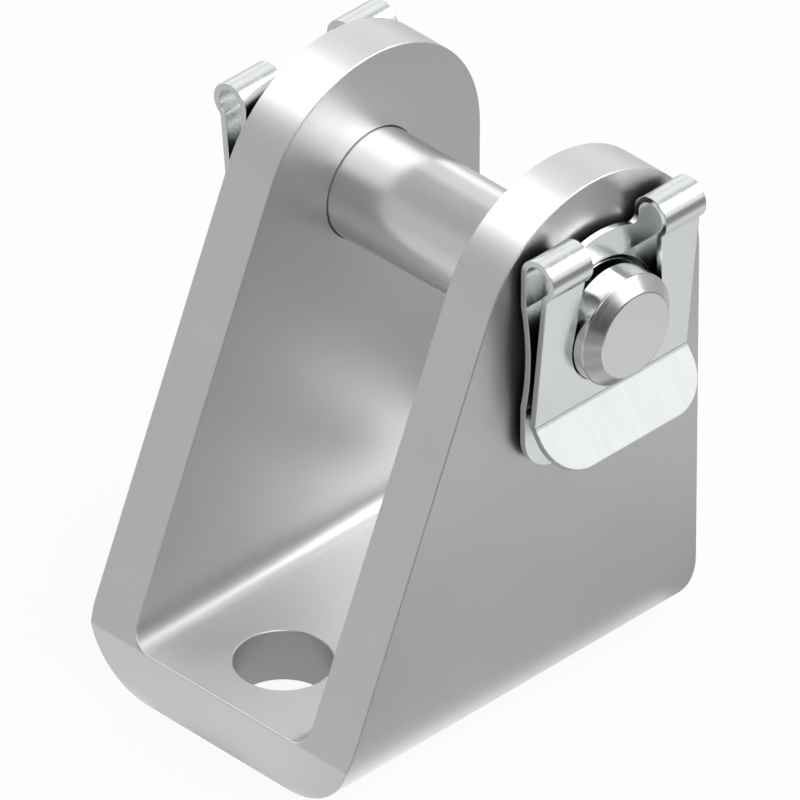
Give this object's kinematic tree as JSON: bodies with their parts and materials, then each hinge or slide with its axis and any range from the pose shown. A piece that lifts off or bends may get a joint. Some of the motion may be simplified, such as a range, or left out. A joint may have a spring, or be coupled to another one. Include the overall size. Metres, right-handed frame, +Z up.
{
  "type": "cylinder foot mount",
  "caption": "Foot mount folded from steel plate into a U with round-topped ears, a clevis pin through the ears and a folded spring clip on each end of the pin.",
  "frame": {"origin": "centre of the base's underside", "axes": "+X along the clevis pin, +Y from the sloping front to the upright back, +Z up from the mounting face"},
  "size_m": [0.0324, 0.032, 0.04],
  "materials": {
    "plate_steel": "satin zinc plated",
    "pin_steel": "polished",
    "spring_steel": "bright rolled"
  },
  "bodies": {
    "bracket": {"foot_bracket": "plate_steel"},
    "pin": {"clevis_pin": "pin_steel"},
    "clip_right": {"retaining_clip_right": "spring_steel"},
    "clip_left": {"retaining_clip_left": "spring_steel"}
  },
  "joints": [
    {"name": "pin_spin", "type": "hinge", "parent": "bracket", "child": "pin", "pos_m": [0, 0.006, 0.03], "axis": [1, 0, 0], "continuous": true},
    {"name": "clip_right_turn", "type": "hinge", "parent": "pin", "child": "clip_right", "pos_m": [0.0132, 0.006, 0.03], "axis": [1, 0, 0], "continuous": true},
    {"name": "clip_left_turn", "type": "hinge", "parent": "pin", "child": "clip_left", "pos_m": [-0.0132, 0.006, 0.03], "axis": [1, 0, 0], "continuous": true}
  ]
}
